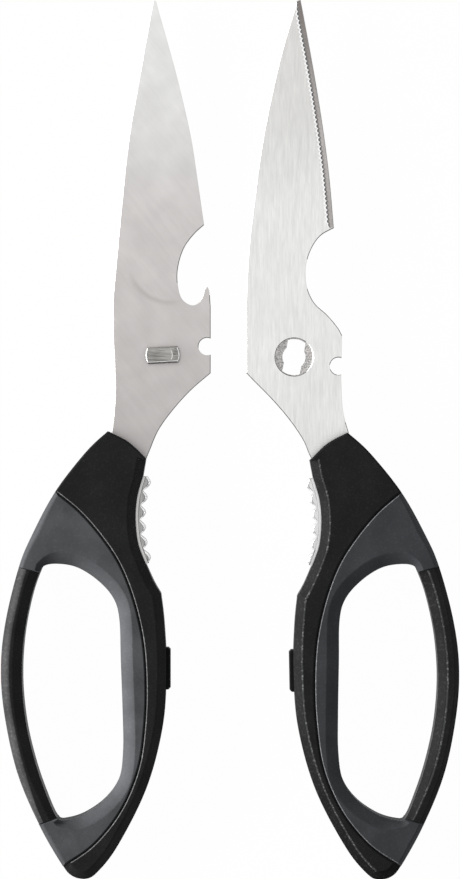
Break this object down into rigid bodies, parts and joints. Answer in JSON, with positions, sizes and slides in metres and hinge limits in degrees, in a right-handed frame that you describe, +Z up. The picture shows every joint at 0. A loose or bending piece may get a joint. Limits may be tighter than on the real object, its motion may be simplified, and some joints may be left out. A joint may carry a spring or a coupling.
{
  "type": "poultry shears",
  "caption": "Take-apart kitchen shears in two halves side by side: steel blades with opener notch, keyhole and serrated edge, looped black and grey handles.",
  "frame": {"origin": "middle of the bottom of the whole model's box, on the surface that both halves lie on", "axes": "+Z up from the surface, +Y towards the blades' tips, +X from half A to half B"},
  "size_m": [0.12, 0.2306, 0.0125],
  "materials": {
    "blade_steel": "satin, brushed lengthwise",
    "stud_steel": "milled",
    "jaw_steel": "tumbled",
    "hard_plastic": "fine moulded texture",
    "soft_rubber": "matte, soft touch",
    "bumper_rubber": "matte"
  },
  "bodies": {
    "half_b": {"blade_b": "blade_steel", "handle_core_b": "hard_plastic", "soft_grip_b": "soft_rubber", "toothed_jaw_b": "jaw_steel", "stop_bumper_b": "bumper_rubber"},
    "half_a": {"blade_a": "blade_steel", "pivot_stud": "stud_steel", "handle_core_a": "hard_plastic", "soft_grip_a": "soft_rubber", "toothed_jaw_a": "jaw_steel", "stop_bumper_a": "bumper_rubber"}
  },
  "joints": [
    {"name": "pivot", "type": "hinge", "parent": "half_b", "child": "half_a", "pos_m": [-0.0177, 0.02215, 0.00625], "axis": [0, 0, -1], "range_deg": [0, 100]}
  ]
}
